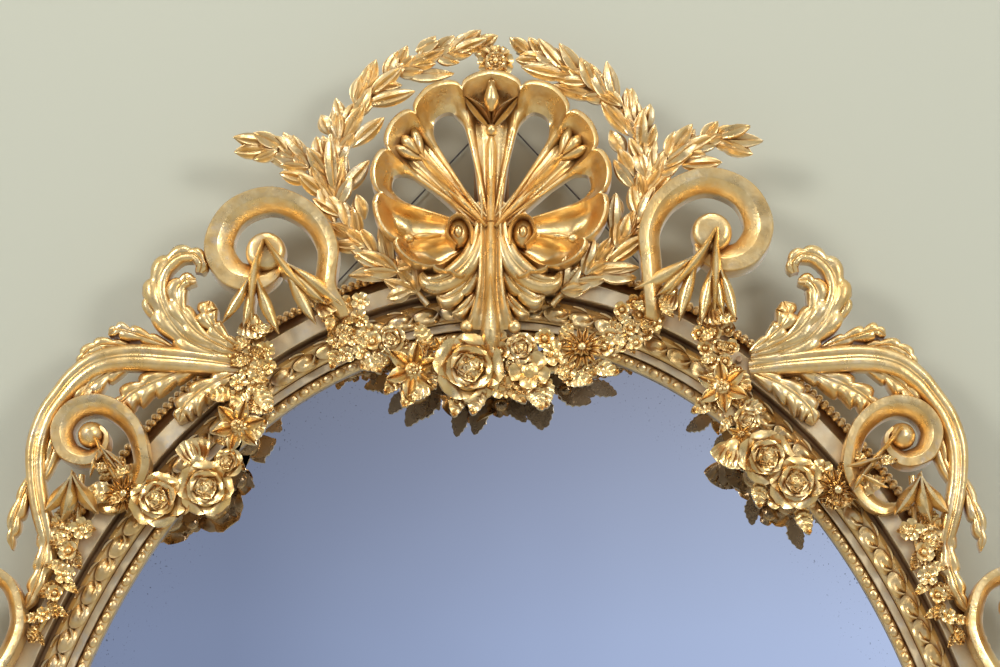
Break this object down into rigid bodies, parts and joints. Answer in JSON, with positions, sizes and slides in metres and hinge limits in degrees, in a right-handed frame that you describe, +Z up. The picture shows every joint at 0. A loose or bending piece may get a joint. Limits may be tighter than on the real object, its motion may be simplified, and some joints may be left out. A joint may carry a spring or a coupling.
{
  "type": "girandole mirror",
  "caption": "Oval wall mirror in a carved gilt frame with a shell crest, laurel, scrolls and flower garlands, and swivelling candle arms for hanging on a wall.",
  "frame": {"origin": "centre of the mirror oval, on the wall plane that the back board rests against", "axes": "+X to the right of a person who faces the mirror, +Z up, and the mirror faces -Y, so +Y points into the wall"},
  "size_m": [1.1574, 0.293, 1.9148],
  "materials": {
    "carved_gilt_wood": "water gilding over gesso, worn and toned",
    "modelled_gilt_garlands": "carved or composition ornament, gilded and toned",
    "moulded_gilt_borders": "applied gilded moulding",
    "bare_pine": "old bare pine",
    "beech_dowels": "bare beech",
    "old_mirror_glass": "silvered glass, lightly foxed",
    "steel_screws": "plain",
    "iron_fittings": "black oxide",
    "hanging_wire": "drawn wire",
    "gilt_brass": "gilded, satin"
  },
  "bodies": {
    "frame": {"frame_ring": "carved_gilt_wood", "bead_moulding": "moulded_gilt_borders", "leaf_moulding": "moulded_gilt_borders", "outer_border": "moulded_gilt_borders", "mirror_plate": "old_mirror_glass", "glazing_blocks": "bare_pine", "backboard": "bare_pine", "backboard_screws": "steel_screws", "crest_block": "bare_pine", "crest_strap": "iron_fittings", "crest_strap_screws": "steel_screws", "hanging_plate_left": "iron_fittings", "hanging_plate_right": "iron_fittings", "hanging_plate_screws": "steel_screws", "hanging_wire": "hanging_wire", "carving_dowels": "beech_dowels", "crest_stem": "carved_gilt_wood", "shell_crest": "carved_gilt_wood", "crest_rosette": "modelled_gilt_garlands", "stem_leaf_left": "carved_gilt_wood", "stem_leaf_right": "carved_gilt_wood", "laurel_left": "modelled_gilt_garlands", "laurel_right": "modelled_gilt_garlands", "upper_scroll_left": "carved_gilt_wood", "upper_scroll_right": "carved_gilt_wood", "lower_scroll_left": "carved_gilt_wood", "lower_scroll_right": "carved_gilt_wood", "acanthus_left": "carved_gilt_wood", "acanthus_right": "carved_gilt_wood", "swag_hanger_left": "modelled_gilt_garlands", "swag_hanger_right": "modelled_gilt_garlands", "centre_swag": "modelled_gilt_garlands", "garland_left": "modelled_gilt_garlands", "garland_right": "modelled_gilt_garlands", "side_drop_left": "modelled_gilt_garlands", "side_drop_right": "modelled_gilt_garlands", "side_scroll_left": "carved_gilt_wood", "side_scroll_right": "carved_gilt_wood", "foot_scroll_left": "carved_gilt_wood", "foot_scroll_right": "carved_gilt_wood", "bottom_cartouche": "carved_gilt_wood", "bottom_pendant": "carved_gilt_wood", "foot_garland_left": "modelled_gilt_garlands", "foot_garland_right": "modelled_gilt_garlands", "arm_bracket_left": "gilt_brass", "arm_bracket_right": "gilt_brass", "arm_bracket_screws": "steel_screws"},
    "arm_left": {"candle_arm_left": "gilt_brass", "drip_pan_left": "gilt_brass", "candle_nozzle_left": "gilt_brass"},
    "arm_right": {"candle_arm_right": "gilt_brass", "drip_pan_right": "gilt_brass", "candle_nozzle_right": "gilt_brass"}
  },
  "joints": [
    {"name": "arm_left_swivel", "type": "hinge", "parent": "frame", "child": "arm_left", "pos_m": [-0.44617, -0.1, -0.4014], "axis": [0, 0, 1], "range_deg": [-50, 50]},
    {"name": "arm_right_swivel", "type": "hinge", "parent": "frame", "child": "arm_right", "pos_m": [0.44617, -0.1, -0.4014], "axis": [0, 0, 1], "range_deg": [-50, 50]}
  ]
}
